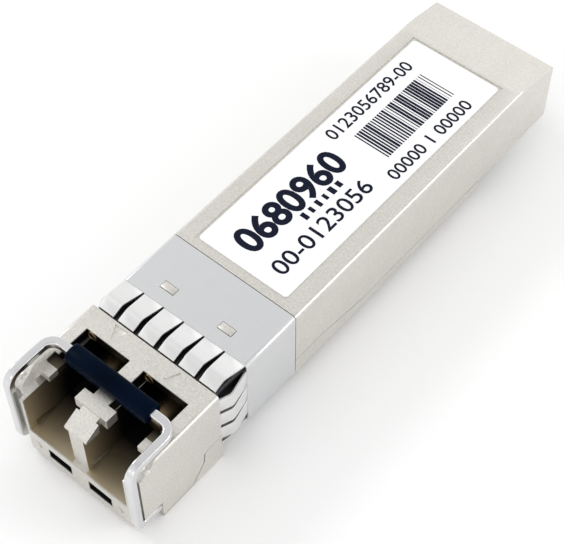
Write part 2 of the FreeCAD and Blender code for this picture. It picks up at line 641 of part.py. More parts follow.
def bail_half():
    """One side of the bail, from the middle of its bar to its inner end."""
    x = BAIL_HALF
    corner = (x, BAR_Y, BAR_Z)
    knee = (x, LEG_Y, BAR_Z)
    ankle = (x, LEG_Y, PIVOT_Z)
    journal_out = x + R_WIRE
    pieces = [
        wire_run((0, BAR_Y, BAR_Z), (x - BEND, BAR_Y, BAR_Z)),
        wire_bend(corner, (-1, 0, 0), (0, -1, 0), BEND),
        wire_run((x, BAR_Y - BEND, BAR_Z), (x, LEG_Y + BEND, BAR_Z)),
        wire_bend(knee, (0, 1, 0), (0, 0, -1), BEND),
        wire_run((x, LEG_Y, BAR_Z - BEND), (x, LEG_Y, PIVOT_Z + FOOT_BEND)),
        wire_bend(ankle, (0, 0, 1), (0, 1, 0), FOOT_BEND),
        wire_run((x, LEG_Y + FOOT_BEND, PIVOT_Z), (x, PIVOT_Y, PIVOT_Z)),
        rod_x(PIVOT_Y, PIVOT_Z, R_WIRE, CRANK_OUT - GAP / 2, journal_out - GAP / 2),
    ]
    offset = CRANK * math.sqrt(0.5)
    pieces.append(rod_x(PIVOT_Y - offset, PIVOT_Z + offset, R_WIRE, CRANK_IN, CRANK_OUT))
    return joined(pieces[0], pieces[1:])


def bail_wire():
    right, left = both_sides(bail_half())
    return joined(right, [left])


def bail_sleeve():
    bar = block(-SLEEVE_LENGTH / 2, SLEEVE_LENGTH / 2, BAR_Y - SLEEVE_THICK / 2,
                BAR_Y + SLEEVE_THICK / 2, BAR_Z - SLEEVE_HEIGHT / 2, BAR_Z + SLEEVE_HEIGHT / 2)
    edges = [e for e in bar.Edges
             if abs(e.Vertexes[0].Point.x - e.Vertexes[-1].Point.x) > 1e-6]
    bar = bar.makeFillet(SLEEVE_HEIGHT * SLEEVE_ROUND, edges)
    half = R_WIRE + SLEEVE_CLEAR
    return bar.cut(block(-FAR, FAR, BAR_Y - half, BAR_Y + half, BAR_Z - half, BAR_Z + half))


# ---------------------------------------------------------------- latch
def lever_levels():
    """Bottom and top of the lever's front bar, just under the bail's crank."""
    crank_under = PIVOT_Z + CRANK * math.sqrt(0.5) - R_WIRE
    top = crank_under - GAP / 2
    return top - LEVER_THICK, top


def latch_lever():
    low, top = lever_levels()
    arm_low = NECK_BOTTOM + ARM_CLEAR
    arm_top = arm_low + LEVER_THICK
    web_half = CRANK_IN - WEB_CLEAR
    front_bar = block(-CRANK_OUT + LEVER_SIDE_CLEAR, CRANK_OUT - LEVER_SIDE_CLEAR, LEVER_FRONT,
                      PIVOT_Y + LEVER_BAR_BACK, low, top)
    web = block(-web_half, web_half, PIVOT_Y, ROCKER_Y, low, top)
    barrel = rod_x(ROCKER_Y, ROCKER_Z, ROCKER_BARREL / 2, -web_half, web_half)
    arm = block(-BOSS_WIDTH / 2 + ARM_INSET, BOSS_WIDTH / 2 - ARM_INSET, ROCKER_Y,
                SHOULDER_Y + ARM_PAST, arm_low, arm_top)
    ramp_end = SHOULDER_Y + BOSS_FLAT + BOSS_DROP + arm_low
    boss = prism_yz([(SHOULDER_Y, arm_low + BOSS_ROOT), (SHOULDER_Y, -BOSS_DROP),
                     (SHOULDER_Y + BOSS_FLAT, -BOSS_DROP), (ramp_end, arm_low),
                     (ramp_end, arm_low + BOSS_ROOT)], -BOSS_WIDTH / 2, BOSS_WIDTH / 2)
    shape = joined(front_bar, [web, barrel, arm, boss])
    return shape.cut(rod_x(ROCKER_Y, ROCKER_Z, ROCKER_PIN / 2 + FIT, -FAR, FAR))


def latch_pin():
    return rod_x(ROCKER_Y, ROCKER_Z, ROCKER_PIN / 2, -EAR_IN - PIN_SEAT, EAR_IN + PIN_SEAT)


def latch_spring():
    """A coil of eight-sided wire, so that its surface closes exactly."""
    seat = NECK_BOTTOM + ARM_CLEAR + LEVER_THICK
    height = BAY_TOP - seat - SPRING_WIRE - 2 * SPRING_CLEAR
    helix = Part.makeHelix(height / SPRING_TURNS, height, SPRING_RADIUS)
    start = Vector(SPRING_RADIUS, 0, 0)
    along = Vector(0, 2 * math.pi * SPRING_RADIUS, height / SPRING_TURNS).normalize()
    outward = Vector(1, 0, 0)
    upward = outward.cross(along)
    ring = []
    for i in range(SPRING_SIDES):
        turn = 2 * math.pi * i / SPRING_SIDES
        ring.append(start + (outward * math.cos(turn) + upward * math.sin(turn))
                    * (SPRING_WIRE / 2))
    section = Part.makePolygon(ring + [ring[0]])
    coil = Part.Wire(helix.Edges).makePipeShell([section], True, True)
    coil.translate(Vector(0, SPRING_Y, seat + SPRING_WIRE / 2 + SPRING_CLEAR))
    return coil


# ---------------------------------------------------------------- board and chips
def circuit_board():
    wide = block(-BOARD_WIDTH / 2, BOARD_WIDTH / 2, BOARD_FRONT, LOWER_END - 0.2,
                 BOARD_UNDER, BOARD_TOP)
    tongue = block(-TONGUE_WIDTH / 2, TONGUE_WIDTH / 2, LOWER_END - 1, BOARD_END,
                   BOARD_UNDER, BOARD_TOP)
    return joined(wide, [tongue])


def edge_contacts():
    width, length, thick = CONTACT
    pads = []
    for i in range(CONTACT_COUNT):
        x = (i - (CONTACT_COUNT - 1) / 2) * CONTACT_PITCH
        back = BOARD_END - CONTACT_INSET
        front = back - length
        pads.append(block(x - width / 2, x + width / 2, front, back, BOARD_TOP,
                          BOARD_TOP + thick))
        pads.append(block(x - width / 2, x + width / 2, front, back, BOARD_UNDER - thick,
                          BOARD_UNDER))
    return pads


def chip(place, thick):
    x0, x1, y0, y1 = place
    return block(x0, x1, y0, y1, BOARD_TOP, BOARD_TOP + thick)


def chip_capacitors():
    width, length, thick = CAPACITOR
    places = [((i - (count - 1) / 2) * pitch, y) for count, pitch, y in CAPACITOR_ROWS
              for i in range(count)]
    places += [(x, y) for x in CAPACITOR_PAIRS[0] for y in CAPACITOR_PAIRS[1]]
    return [block(x - width / 2, x + width / 2, y - length / 2, y + length / 2, BOARD_TOP,
                  BOARD_TOP + thick) for x, y in places]


def thermal_pad():
    x0, x1, y0, y1 = DRIVER_PLACE
    return block(x0, x1, y0, y1, BOARD_TOP + CHIP_THICK, BOARD_TOP + CHIP_THICK + PAD_THICK)


# ---------------------------------------------------------------- optics
def optics_gasket():
    sheet = block(-HALF_NECK + WALL + FIT, HALF_NECK - WALL - FIT, BULKHEAD_BACK, GASKET_BACK,
                  BAY_TOP + PLATE_CLEAR, NECK_TOP - ROOF - FIT)
    return sheet.cut(both_sides(rod_y(HALF_PITCH, AXIS_Z, SNOUT_RADIUS + FIT, 0, FAR)))


def optics_clamp():
    front = FLANGE_BACK
    plate = block(-HALF_NECK + WALL + FIT, HALF_NECK - WALL - FIT, front, front + CLAMP_THICK,
                  BAY_TOP + PLATE_CLEAR, NECK_TOP - ROOF - FIT)
    radius = BARREL_RADIUS + FIT
    slots = both_sides(block(HALF_PITCH - radius, HALF_PITCH + radius, 0, FAR, AXIS_Z, FAR))
    holes = both_sides(rod_y(HALF_PITCH, AXIS_Z, radius, 0, FAR))
    return plate.cut(slots + holes)


def barrel(x):
    """Metal barrel: snout in the port, flange against the gasket, seat for the can."""
    snout = rod_y(x, AXIS_Z, SNOUT_RADIUS, SNOUT_FRONT, GASKET_BACK)
    flange = rod_y(x, AXIS_Z, FLANGE_RADIUS, GASKET_BACK, FLANGE_BACK)
    rear = rod_y(x, AXIS_Z, BARREL_RADIUS, FLANGE_BACK, BARREL_BACK)
    shape = joined(snout, [flange, rear])
    bore = rod_y(x, AXIS_Z, FERRULE / 2 + FERRULE_CLEAR + SLEEVE_WALL,
                 SNOUT_FRONT + SNOUT_LIP, GASKET_BACK)
    mouth = rod_y(x, AXIS_Z, FERRULE / 2 + FERRULE_CLEAR, SNOUT_FRONT - 1, GASKET_BACK)
    light_path = rod_y(x, AXIS_Z, LIGHT_PATH_RADIUS, GASKET_BACK - BITE, BARREL_BACK + 1)
    return shape.cut([bore, mouth, light_path])


def ferrule_sleeve(x):
    """Ceramic tube inside the snout that lines up the plug's ferrule."""
    outer = FERRULE / 2 + FERRULE_CLEAR + SLEEVE_WALL
    tube = rod_y(x, AXIS_Z, outer, SNOUT_FRONT + SNOUT_LIP, GASKET_BACK)
    return tube.cut(rod_y(x, AXIS_Z, FERRULE / 2 + FERRULE_CLEAR, 0, FAR))


def optics_can(x, depth):
    """Metal cap and header that hold the laser or the photodiode."""
    back = BARREL_BACK + depth
    cap = rod_y(x, AXIS_Z, CAP_RADIUS, BARREL_BACK, back)
    header = rod_y(x, AXIS_Z, HEADER_RADIUS, back, back + HEADER_THICK)
    room = rod_y(x, AXIS_Z, CAP_RADIUS - CAP_WALL, BARREL_BACK + CAP_WALL, back)
    aperture = rod_y(x, AXIS_Z, APERTURE_RADIUS, BARREL_BACK - 1, BARREL_BACK + 1)
    return joined(cap, [header]).cut([room, aperture])


def can_window(x):
    front = BARREL_BACK + CAP_WALL
    return rod_y(x, AXIS_Z, CAN_WINDOW_RADIUS, front, front + CAN_WINDOW_THICK)


def can_post(x, depth, height):
    """Mount on the header that carries the laser or the photodiode."""
    back = BARREL_BACK + depth
    half, bottom, top = POST_SECTION
    return block(x - half, x + half, back - height, back, AXIS_Z + bottom, AXIS_Z + top)


def can_leads(x, depth):
    start = BARREL_BACK + depth + HEADER_THICK
    leads = []
    for turn in (45, 135, 225, 315):
        across = LEAD_CIRCLE * math.cos(math.radians(turn))
        up = LEAD_CIRCLE * math.sin(math.radians(turn))
        leads.append(rod_y(x + across, AXIS_Z + up, LEAD_RADIUS, start, start + LEAD_LENGTH))
    return leads


def flex_circuit(x, depth):
    """Thin ribbon from the can's leads down to the top of the board."""
    start = BARREL_BACK + depth + HEADER_THICK
    face = start + FLEX
    bend = FLEX_BEND
    low = BOARD_TOP
    end = BOARD_FRONT + FLEX_TAIL
    riser = block(x - FLEX_WIDTH / 2, x + FLEX_WIDTH / 2, start, face, low + FLEX + bend,
                  AXIS_Z + FLEX_RISE)
    tail = block(x - FLEX_WIDTH / 2, x + FLEX_WIDTH / 2, face + bend, end, low, low + FLEX)
    centre_y, centre_z = face + bend, low + FLEX + bend
    ring = rod_x(centre_y, centre_z, bend + FLEX, x - FLEX_WIDTH / 2, x + FLEX_WIDTH / 2)
    ring = ring.cut(rod_x(centre_y, centre_z, bend, -FAR, FAR))
    quarter = ring.common(block(-FAR, FAR, 0, centre_y, -FAR, centre_z))
    shape = joined(riser, [quarter, tail])
    holes = [rod_y(lead.BoundBox.Center.x, lead.BoundBox.Center.z, LEAD_RADIUS + LEAD_CLEAR, 0, FAR)
             for lead in can_leads(x, depth)]
    return shape.cut(holes)


def label():
    return block(-LABEL_WIDTH / 2, LABEL_WIDTH / 2, LABEL_FRONT, LABEL_FRONT + LABEL_LENGTH,
                 BODY_HEIGHT - LABEL_THICK, BODY_HEIGHT - LABEL_SINK)


# ---------------------------------------------------------------- write the parts
save("upper_housing", upper_housing())
save("lower_housing", lower_housing())
save("emi_collar", collar())
save("bail_wire", bail_wire())
save("bail_sleeve", bail_sleeve())
save("latch_lever", latch_lever())
save("latch_pin", latch_pin())
save("latch_spring", latch_spring())
save("label", label())
save("circuit_board", circuit_board())
save("edge_contacts", edge_contacts())
save("laser_driver", chip(DRIVER_PLACE, CHIP_THICK))
save("receive_amplifier", chip(AMPLIFIER_PLACE, AMPLIFIER_THICK))
save("controller_chip", chip(CONTROLLER_PLACE, CONTROLLER_THICK))
save("chip_capacitors", chip_capacitors())
save("thermal_pad", thermal_pad())
save("optics_gasket", optics_gasket())
save("optics_clamp", optics_clamp())
for prefix, port_x in (("transmitter", -HALF_PITCH), ("receiver", HALF_PITCH)):
    depth = CAN_DEPTH[prefix]
    save(prefix + "_barrel", barrel(port_x))
    save(prefix + "_ferrule_sleeve", ferrule_sleeve(port_x))
    save(prefix + "_can", optics_can(port_x, depth))
    save(prefix + "_window", can_window(port_x))
    save(prefix + "_diode", can_post(port_x, depth, POST_HEIGHT[prefix]))
    save(prefix + "_leads", can_leads(port_x, depth))
    save(prefix + "_flex", flex_circuit(port_x, depth))
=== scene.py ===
"""A pluggable optical transceiver module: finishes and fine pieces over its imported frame."""
import json
import math

import bmesh
import bpy
from mathutils import Matrix, Vector


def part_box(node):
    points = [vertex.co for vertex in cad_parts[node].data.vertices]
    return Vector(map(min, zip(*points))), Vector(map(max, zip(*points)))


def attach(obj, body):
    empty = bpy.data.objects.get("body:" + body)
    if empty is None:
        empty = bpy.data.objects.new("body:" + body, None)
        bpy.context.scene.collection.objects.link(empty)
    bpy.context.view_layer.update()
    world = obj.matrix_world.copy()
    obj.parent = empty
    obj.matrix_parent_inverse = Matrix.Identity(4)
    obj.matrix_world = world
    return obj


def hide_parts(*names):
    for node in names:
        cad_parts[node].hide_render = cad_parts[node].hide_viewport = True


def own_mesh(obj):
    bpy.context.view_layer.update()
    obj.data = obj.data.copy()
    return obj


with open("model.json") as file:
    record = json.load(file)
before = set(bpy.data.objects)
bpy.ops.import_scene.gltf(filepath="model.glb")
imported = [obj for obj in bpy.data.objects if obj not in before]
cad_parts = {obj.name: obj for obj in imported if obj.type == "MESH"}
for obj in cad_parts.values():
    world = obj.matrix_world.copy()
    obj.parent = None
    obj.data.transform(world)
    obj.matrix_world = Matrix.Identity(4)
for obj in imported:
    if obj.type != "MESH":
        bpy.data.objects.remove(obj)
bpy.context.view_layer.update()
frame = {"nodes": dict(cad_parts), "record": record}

MM = 0.001

# Places worked out from the frame.
LABEL_LOW, LABEL_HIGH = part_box("label")
SLEEVE_LOW, SLEEVE_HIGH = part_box("bail_sleeve")
COLLAR_LOW, COLLAR_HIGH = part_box("emi_collar")

# Sizes of the fine pieces, in metres.
CASTING_EDGE = 0.05 * MM
SHEET_EDGE = 0.02 * MM
FINGER_EDGE = 0.03 * MM
SLEEVE_EDGE = 0.12 * MM
INK_THICK = 0.006 * MM
INK_MIDDLE = LABEL_HIGH.z + INK_THICK / 2
LABEL_CORNER = 0.35 * MM
LABEL_CORNER_STEPS = 6

# Angles, in degrees: the least bend that counts as an edge in each kind of piece.
PLAIN_EDGE = 30.0
CASTING_BEND = 38.0
SHEET_BEND = 50.0
SLEEVE_BEND = 20.0
FINGER_BEND = 20.0
COIL_BEND = 60.0
RING_BEND = 80.0

# Corners nearer than this are one corner, and faces flatter than this are one face.
SAME_CORNER = 0.0004 * MM
SAME_FACE = 0.5

# The ports, their windows and the latch bay, measured from the nose.
NOSE_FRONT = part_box("upper_housing")[0].y
NECK_FRONT = NOSE_FRONT + 9.6 * MM
LOWER_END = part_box("lower_housing")[1].y
PORT_INNER, PORT_OUTER = 0.8 * MM, 5.45 * MM
PORT_FLOOR, PORT_CEILING = 3.4 * MM, 8.0 * MM
PORT_SKIN = 0.03 * MM
WINDOW_OUTER, WINDOW_RIM = 5.98 * MM, 9.5 * MM
WINDOW_FRONT, WINDOW_BACK = NOSE_FRONT + 3.5 * MM, NOSE_FRONT + 9.0 * MM
BAY_HALF, BAY_LOW = 4.8 * MM, 0.15 * MM
BAY_ROOF_SKIN = 0.2 * MM
NOSE_HALF = 6.9 * MM
COVER_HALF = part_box("emi_collar")[1].x - 0.5 * MM

# The collar's spring fingers.
FINGER_TIP = COLLAR_LOW.y
CREST_Y = FINGER_TIP + 1.15 * MM
FINGER_ROOT = FINGER_TIP + 3.35 * MM
FINGER_RISE, FINGER_TIP_RISE = 0.5 * MM, 0.05 * MM
FINGER_PITCH, SIDE_FINGER_PITCH = 2.2 * MM, 2.15 * MM
SLIT_ROOT, SLIT_TIP = 0.16 * MM, 0.5 * MM
SHEET_THICK = 0.2 * MM
BODY_HALF, BODY_BOTTOM = COLLAR_HIGH.x - FINGER_RISE, 1.1 * MM
BODY_TOP = BODY_BOTTOM + 8.5 * MM
SIDE_FINGER_FIRST = 3.575 * MM
UNDER_FINGER_FIRST = 1.5 * FINGER_PITCH
TOP_FINGERS, SIDE_FINGERS, UNDER_FINGERS = 6, 3, 2
BAND_SETBACK = 0.012 * MM

# How a finger bends: the share of each side that the rounded crest takes up, how much more of the
# tip's side, the curve's pull towards the sharp crest, and the number of its steps.
CREST_BEND = 0.14
TIP_BEND = 1.3
CREST_PULL, SIDE_PULL = 0.8, 0.1
CREST_STEPS = 8

# The latch spring: its wire, its turns, and the steps around its coil and its wire.
SPRING_WIRE = 0.16 * MM
SPRING_TURNS = 2.5
COIL_STEPS, WIRE_STEPS = 28, 10

# The rings seen through the windows.
RING_X = {"left": -4.99 * MM, "right": 1.26 * MM}
RING_Y, RING_Z = NOSE_FRONT + 7.57 * MM, 9.04 * MM
RING_RADIUS, RING_TUBE = 0.42 * MM, 0.075 * MM
RING_STEPS, TUBE_STEPS = 28, 8

# The bail sleeve, as shares of half its size: its outline (y, z), and its stations (x, scale).
SLEEVE_OUTLINE = [(-1.0, -0.62), (-0.8, -0.95), (0.8, -0.95), (1.0, -0.62), (1.0, 0.35),
                  (0.72, 0.82), (0.22, 0.97), (-0.22, 0.97), (-0.72, 0.82), (-1.0, 0.35)]
SLEEVE_STATIONS = [(-1.0, 0.8), (-0.985, 0.93), (-0.95, 1.0), (-0.4, 1.0), (0.4, 1.0),
                   (0.95, 1.0), (0.985, 0.93), (1.0, 0.8)]

# The print: the smallest block of a word, as a share of its largest, and the row of bars.
BLOCK_SHORTEST, BLOCK_NARROWEST = 0.72, 0.55
BAR_COUNT, BAR_STEP, BAR_TALL = 31, 0.32 * MM, 3.85 * MM
BAR_NARROWEST, BAR_WIDEST = 0.04 * MM, 0.29 * MM
BAR_SEED, BLOCK_SEED = 12, 9
TEXT_STEPS = 5

# Parts of the casting with painted shade: limits (across, height, depth), across from the middle.
EVERYWHERE = (-1.0, 1.0)
RELIEF_REACH = 0.33 * MM
RELIEF_DEPTH = (NOSE_FRONT + 0.76 * MM, NOSE_FRONT + 3.4 * MM)
PORTS = ((PORT_INNER - PORT_SKIN, PORT_OUTER + PORT_SKIN),
         (PORT_FLOOR - PORT_SKIN, PORT_CEILING),
         (NOSE_FRONT + 0.12 * MM, NECK_FRONT + 2 * MM))
WINDOWS = ((PORT_INNER - 0.1 * MM, WINDOW_OUTER),
           (PORT_CEILING - 0.01 * MM, WINDOW_RIM),
           (WINDOW_FRONT - PORT_SKIN, WINDOW_BACK))
BAY = ((EVERYWHERE[0], BAY_HALF),
       (BAY_LOW, PORT_FLOOR - BAY_ROOF_SKIN),
       (NOSE_FRONT + 0.35 * MM, NECK_FRONT + 3 * MM))
INNER_RELIEFS = ((PORT_INNER - RELIEF_REACH, PORT_INNER + PORT_SKIN),
                 (PORT_FLOOR + 0.02 * MM, PORT_CEILING), RELIEF_DEPTH)
OUTER_RELIEFS = ((PORT_OUTER - PORT_SKIN, PORT_OUTER + RELIEF_REACH),
                 (PORT_FLOOR - PORT_SKIN, PORT_FLOOR + 1.6 * MM), RELIEF_DEPTH)
SLOTS = ((0.9 * MM, 3.62 * MM), (1.15 * MM, 2.55 * MM),
         (NOSE_FRONT + 0.06 * MM, NOSE_FRONT + 1.2 * MM))
NOSE_SEAM = ((BAY_HALF, NOSE_HALF - 0.06 * MM), (0.3 * MM, 3.7 * MM),
             (NOSE_FRONT + 5.0 * MM, NECK_FRONT - 0.05 * MM))
COVER_SEAM = ((BAY_HALF, COVER_HALF - 0.05 * MM), (1.9 * MM, 3.4 * MM),
              (COLLAR_HIGH.y - 0.1 * MM, LOWER_END))
NECK = (EVERYWHERE, (BODY_BOTTOM + 0.4 * MM, BODY_TOP),
        (NECK_FRONT + 0.02 * MM, FINGER_ROOT + 0.5 * MM))
HOLLOWS = (PORTS, WINDOWS, BAY, INNER_RELIEFS, OUTER_RELIEFS)
GAPS = (SLOTS, NOSE_SEAM, COVER_SEAM, NECK)

# Painted shade: the hollows' colours from their mouths inwards, and the near-black of the gaps.
HOLLOW_MOUTH, HOLLOW_END = NOSE_FRONT + 0.4 * MM, NOSE_FRONT + 4.6 * MM
HOLLOW_SHADES = [(0.0, (0.54, 0.46, 0.32)), (0.55, (0.22, 0.18, 0.12)),
                  (1.0, (0.012, 0.011, 0.012))]
GAP_SHADE = (0.03, 0.03, 0.032)

# Where most of a noise pattern's values lie, and how much coarser the slow pattern is than the fine.
NOISE_LOW, NOISE_HIGH = 0.3, 0.7
FINE_DETAIL, SLOW_DETAIL = 4.0, 3.0
SLOWER = 18

# The room: floor, sky from low to high, and lamps (name, place, size, power).
FLOOR_REACH, FLOOR_DROP = 1.5, -0.02 * MM
SKY = [(0.0, (1.0, 1.0, 1.0)), (0.3, (1.0, 1.0, 1.0)), (0.62, (0.98, 0.98, 0.98)),
       (0.78, (0.9, 0.9, 0.9)), (1.0, (0.68, 0.68, 0.68))]
LAMPS = (("key", (-0.25, -0.02, 0.21), 0.09, 0.2),
         ("front", (-0.04, -0.26, 0.16), 0.08, 0.05),
         ("back", (-0.10, 0.37, 0.22), 0.16, 0.035),
         ("edge", (0.243, 0.133, 0.113), 0.10, 0.16))

# The camera: its directions, its place in millimetres and its lens.
CAMERA_RIGHT = Vector((0.7651, 0.6440, -0.0017))
CAMERA_DOWN = Vector((0.5223, -0.6221, -0.5833))
CAMERA_FORWARD = Vector((-0.3767, 0.4453, -0.8123))
CAMERA_PLACE = Vector((49.09, -60.64, 109.21))
CAMERA_LENS, CAMERA_SENSOR, CAMERA_CLIP = 94.62, 36.0, 0.005


# ---------------------------------------------------------------- materials
def shader(name, colour, metallic, roughness):
    material = bpy.data.materials.new(name)
    material.use_nodes = True
    principled = material.node_tree.nodes["Principled BSDF"]
    principled.inputs["Base Color"].default_value = (*colour, 1.0)
    principled.inputs["Metallic"].default_value = metallic
    principled.inputs["Roughness"].default_value = roughness
    return material, material.node_tree, principled


def place_vector(tree, stretch=(1, 1, 1)):
    """Object coordinates, stretched so that a pattern runs along one axis."""
    coordinates = tree.nodes.new("ShaderNodeTexCoord")
    mapping = tree.nodes.new("ShaderNodeMapping")
    mapping.inputs["Scale"].default_value = stretch
    tree.links.new(coordinates.outputs["Object"], mapping.inputs["Vector"])
    return mapping.outputs["Vector"]


def noise(tree, vector, scale, detail=3.0, roughness=0.55):
    node = tree.nodes.new("ShaderNodeTexNoise")
    node.inputs["Scale"].default_value = scale
    node.inputs["Detail"].default_value = detail
    node.inputs["Roughness"].default_value = roughness
    tree.links.new(vector, node.inputs["Vector"])
    return node.outputs["Fac"]


def ramp(tree, value, stops):
    node = tree.nodes.new("ShaderNodeValToRGB")
    elements = node.color_ramp.elements
    while len(elements) < len(stops):
        elements.new(0.5)
    for element, (position, colour) in zip(elements, stops):
        element.position = position
        element.color = (*colour, 1.0)
    tree.links.new(value, node.inputs["Fac"])
    return node.outputs["Color"]


def between(tree, value, start, end, low=0.0, high=1.0):
    """low at start, high at end, in a straight line between them."""
    node = tree.nodes.new("ShaderNodeMapRange")
    for name, number in (("From Min", start), ("From Max", end), ("To Min", low),
                         ("To Max", high)):
        node.inputs[name].default_value = number
    tree.links.new(value, node.inputs["Value"])
    return node.outputs["Result"]


def spread(tree, value, low, high):
    """A noise pattern's values spread out from low to high."""
    return between(tree, value, NOISE_LOW, NOISE_HIGH, low, high)


def split_place(tree, kind="Object"):
    """The x, y and z of a place in the given coordinates."""
    coordinates = tree.nodes.new("ShaderNodeTexCoord")
    split = tree.nodes.new("ShaderNodeSeparateXYZ")
    tree.links.new(coordinates.outputs[kind], split.inputs["Vector"])
    return split.outputs["X"], split.outputs["Y"], split.outputs["Z"]


def bump(tree, principled, height, distance):
    """Relief that follows a pattern, as deep as the distance in metres."""
    node = tree.nodes.new("ShaderNodeBump")
    node.inputs["Distance"].default_value = distance
    node.inputs["Strength"].default_value = 1.0
    tree.links.new(height, node.inputs["Height"])
    tree.links.new(node.outputs["Normal"], principled.inputs["Normal"])


def shaded(colour, amount):
    return tuple(min(1.0, c * amount) for c in colour)


def grained(name, colour, metallic, roughness, grain=6500, depth=0.01, stretch=(1, 1, 1),
            vary=0.06, rough_vary=0.07, specular=0.5):
    """A finish with fine grain in its relief, and slow drifts in its colour and gloss."""
    material, tree, principled = shader(name, colour, metallic, roughness)
    principled.inputs["Specular IOR Level"].default_value = specular
    place = place_vector(tree, stretch)
    fine = noise(tree, place, grain, FINE_DETAIL, 0.6)
    slow = noise(tree, place, grain / SLOWER, SLOW_DETAIL)
    tree.links.new(ramp(tree, slow, [(NOISE_LOW, shaded(colour, 1 - vary)),
                                     (NOISE_HIGH, shaded(colour, 1 + vary))]),
                   principled.inputs["Base Color"])
    tree.links.new(spread(tree, fine, roughness - rough_vary, roughness + rough_vary),
                   principled.inputs["Roughness"])
    bump(tree, principled, fine, depth * MM)
    return material


def arithmetic(tree, kind, first, second=None, clamp=False):
    node = tree.nodes.new("ShaderNodeMath")
    node.operation = kind
    node.use_clamp = clamp
    for socket, value in zip(node.inputs, (first, second)):
        if isinstance(value, (int, float)):
            socket.default_value = value
        elif value is not None:
            tree.links.new(value, socket)
    return node.outputs["Value"]


def nickel_casting():
    """Satin plated casting, with painted shade in its ports, windows, latch bay and gaps."""
    colour = (0.70, 0.68, 0.635)
    material, tree, principled = shader("nickel_casting", colour, 0.85, 0.38)
    place = place_vector(tree)
    fine = noise(tree, place, 5200, FINE_DETAIL, 0.65)
    slow = noise(tree, place, 420, SLOW_DETAIL)
    plated = ramp(tree, arithmetic(tree, "ADD", arithmetic(tree, "MULTIPLY", slow, 0.15),
                                   arithmetic(tree, "MULTIPLY", fine, 0.85)),
                  [(0.34, shaded(colour, 0.86)), (0.66, shaded(colour, 1.1))])
    x, depth, height = split_place(tree)
    across = arithmetic(tree, "ABSOLUTE", x)

    def inside(limits):
        """1 in the part of the casting that lies within the limits."""
        product = None
        for value, (low, high) in zip((across, height, depth), limits):
            if (low, high) == EVERYWHERE:
                continue
            low_side = arithmetic(tree, "GREATER_THAN", value, low)
            high_side = arithmetic(tree, "LESS_THAN", value, high)
            both = arithmetic(tree, "MULTIPLY", low_side, high_side)
            product = both if product is None else arithmetic(tree, "MULTIPLY", product, both)
        return product

    # Painted shade: the hollows darken from their mouths inwards, as the light falls off deeper.
    hollow_shade = ramp(tree, between(tree, depth, HOLLOW_MOUTH, HOLLOW_END), HOLLOW_SHADES)

    def covered(below, above, parts):
        """The colour below, with the colour above in the given parts of the casting."""
        total = inside(parts[0])
        for limits in parts[1:]:
            total = arithmetic(tree, "ADD", total, inside(limits), clamp=True)
        mix = tree.nodes.new("ShaderNodeMix")
        mix.data_type = "RGBA"
        tree.links.new(total, mix.inputs["Factor"])
        tree.links.new(below, mix.inputs["A"])
        if isinstance(above, tuple):
            mix.inputs["B"].default_value = (*above, 1.0)
        else:
            tree.links.new(above, mix.inputs["B"])
        return mix.outputs["Result"]

    # Painted shade: the slots, the seams and the neck seen through the finger slits are near-black.
    finish = covered(covered(plated, hollow_shade, HOLLOWS), GAP_SHADE, GAPS)
    tree.links.new(finish, principled.inputs["Base Color"])
    tree.links.new(spread(tree, fine, 0.31, 0.46), principled.inputs["Roughness"])
    bump(tree, principled, fine, 0.016 * MM)
    return material


def collar_steel():
    """Satin sheet, with a painted highlight: its bent fingers at the front are coloured brighter."""
    colour = (0.70, 0.706, 0.714)
    material, tree, principled = shader("collar_steel", colour, 0.9, 0.3)
    place = place_vector(tree, (1, 0.12, 1))
    fine = noise(tree, place, 9000, FINE_DETAIL, 0.6)
    # Painted highlight: lighter colour on the fingers ahead of their root, where light falls on
    # their slopes.
    finger_highlight = between(tree, split_place(tree)[1], FINGER_ROOT + 0.1 * MM, FINGER_ROOT - 0.2 * MM)
    tree.links.new(ramp(tree, finger_highlight, [(0.0, colour), (1.0, (0.8, 0.8, 0.795))]),
                   principled.inputs["Base Color"])
    tree.links.new(spread(tree, fine, 0.27, 0.36), principled.inputs["Roughness"])
    bump(tree, principled, fine, 0.004 * MM)
    return material


def clear_glass():
    material, tree, principled = shader("lens_glass", (0.9, 0.95, 0.97), 0.0, 0.04)
    principled.inputs["Transmission Weight"].default_value = 0.85
    principled.inputs["IOR"].default_value = 1.5
    place = place_vector(tree)
    tree.links.new(spread(tree, noise(tree, place, 3000), 0.03, 0.08),
                   principled.inputs["Roughness"])
    return material


